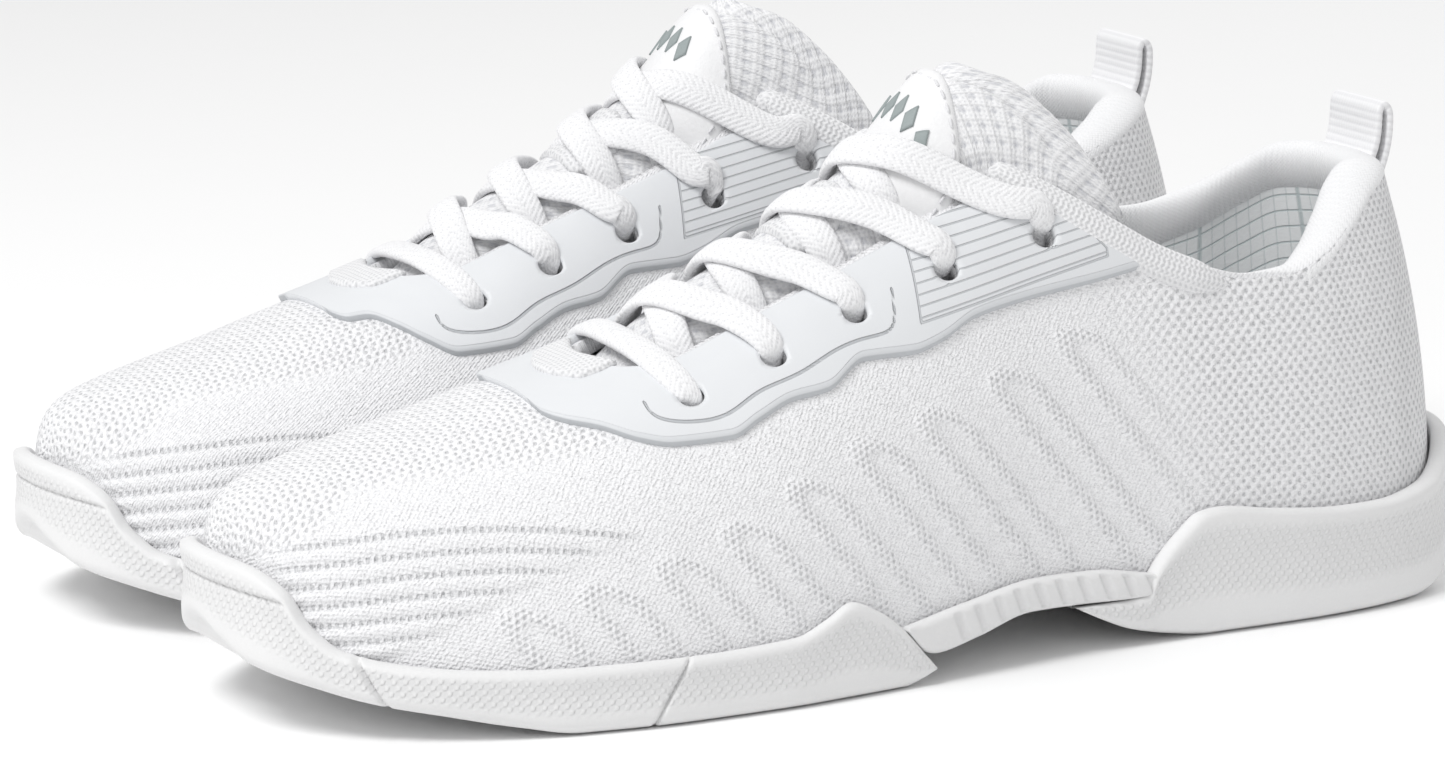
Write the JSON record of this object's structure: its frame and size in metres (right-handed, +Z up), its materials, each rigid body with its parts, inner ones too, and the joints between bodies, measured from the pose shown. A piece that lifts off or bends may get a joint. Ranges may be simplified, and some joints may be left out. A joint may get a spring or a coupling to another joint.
{
  "type": "cheer shoes",
  "caption": "Pair of low white knitted cheer shoes with split rubber soles, a laced throat, padded tongue and collar, and a heel pull loop.",
  "frame": {"origin": "on the ground, midway between the two shoes and midway along their soles", "axes": "+X towards the left shoe, +Y towards the heels, +Z up"},
  "size_m": [0.1886, 0.262, 0.1118],
  "materials": {
    "rubber_white": "matt white moulded rubber with a fine lens texture",
    "tpu_white": "satin white moulded plastic",
    "eva_foam": "white moulded foam",
    "strobel_board": "plain woven board",
    "sock_liner": "brushed knit over foam",
    "knit_white": "white engineered knit",
    "overlay_film": "satin cool white film",
    "stiffener": "plain thermoplastic sheet",
    "collar_foam": "foam under smooth knit",
    "lining_mesh": "lining with a fine grid",
    "tongue_mesh": "padded spacer mesh with open holes",
    "patch_film": "smooth leather-look film",
    "emblem_grey": "grey raised print",
    "lace_white": "flat braided polyester",
    "aglet_clear": "clear film tip",
    "webbing_white": "ribbed woven tape"
  },
  "bodies": {
    "left_shoe": {"left_outsole_ball": "rubber_white", "left_outsole_heel": "rubber_white", "left_shank": "tpu_white", "left_midsole": "eva_foam", "left_insole_board": "strobel_board", "left_insole": "sock_liner", "left_upper": "knit_white", "left_eyestay_overlay": "overlay_film", "left_throat_patch": "knit_white", "left_heel_counter": "stiffener", "left_collar_pad": "collar_foam", "left_collar_lining": "lining_mesh", "left_tongue_lower": "tongue_mesh", "left_lace_keeper": "knit_white", "left_lace": "lace_white", "left_aglets": "aglet_clear"},
    "left_toe": {"left_outsole_toe": "rubber_white", "left_toe_puff": "stiffener"},
    "left_tongue": {"left_tongue_top": "tongue_mesh", "left_tongue_patch": "patch_film", "left_emblem": "emblem_grey"},
    "left_tab": {"left_pull_tab": "webbing_white"},
    "right_shoe": {"right_outsole_ball": "rubber_white", "right_outsole_heel": "rubber_white", "right_shank": "tpu_white", "right_midsole": "eva_foam", "right_insole_board": "strobel_board", "right_insole": "sock_liner", "right_upper": "knit_white", "right_eyestay_overlay": "overlay_film", "right_throat_patch": "knit_white", "right_heel_counter": "stiffener", "right_collar_pad": "collar_foam", "right_collar_lining": "lining_mesh", "right_tongue_lower": "tongue_mesh", "right_lace_keeper": "knit_white", "right_lace": "lace_white", "right_aglets": "aglet_clear"},
    "right_toe": {"right_outsole_toe": "rubber_white", "right_toe_puff": "stiffener"},
    "right_tongue": {"right_tongue_top": "tongue_mesh", "right_tongue_patch": "patch_film", "right_emblem": "emblem_grey"},
    "right_tab": {"right_pull_tab": "webbing_white"}
  },
  "joints": [
    {"name": "right_shoe_lift", "type": "slide", "parent": "left_shoe", "child": "right_shoe", "axis": [0, 0, 1], "range_m": [0, 0.12]},
    {"name": "left_toe_flex", "type": "hinge", "parent": "left_shoe", "child": "left_toe", "pos_m": [0.0476, -0.057, 0.0126], "axis": [-1, 0, 0], "range_deg": [0, 30], "stiffness_Nm_per_rad": 3, "deforming": ["left_upper", "left_midsole", "left_insole_board", "left_insole", "left_eyestay_overlay", "left_tongue_lower"]},
    {"name": "left_tongue_fold", "type": "hinge", "parent": "left_shoe", "child": "left_tongue", "pos_m": [0.0476, 0.012, 0.097], "axis": [1, 0, 0], "range_deg": [-10, 3.5], "stiffness_Nm_per_rad": 0.05, "deforming": ["left_tongue_lower"]},
    {"name": "left_tab_flex", "type": "hinge", "parent": "left_shoe", "child": "left_tab", "pos_m": [0.0476, 0.1148, 0.0856], "axis": [1, 0, 0], "range_deg": [-25, 25], "stiffness_Nm_per_rad": 0.02},
    {"name": "right_toe_flex", "type": "hinge", "parent": "right_shoe", "child": "right_toe", "pos_m": [-0.0476, -0.057, 0.0126], "axis": [-1, 0, 0], "range_deg": [0, 30], "stiffness_Nm_per_rad": 3, "deforming": ["right_upper", "right_midsole", "right_insole_board", "right_insole", "right_eyestay_overlay", "right_tongue_lower"]},
    {"name": "right_tongue_fold", "type": "hinge", "parent": "right_shoe", "child": "right_tongue", "pos_m": [-0.0476, 0.012, 0.097], "axis": [1, 0, 0], "range_deg": [-10, 3.5], "stiffness_Nm_per_rad": 0.05, "deforming": ["right_tongue_lower"]},
    {"name": "right_tab_flex", "type": "hinge", "parent": "right_shoe", "child": "right_tab", "pos_m": [-0.0476, 0.1148, 0.0856], "axis": [1, 0, 0], "range_deg": [-25, 25], "stiffness_Nm_per_rad": 0.02}
  ]
}
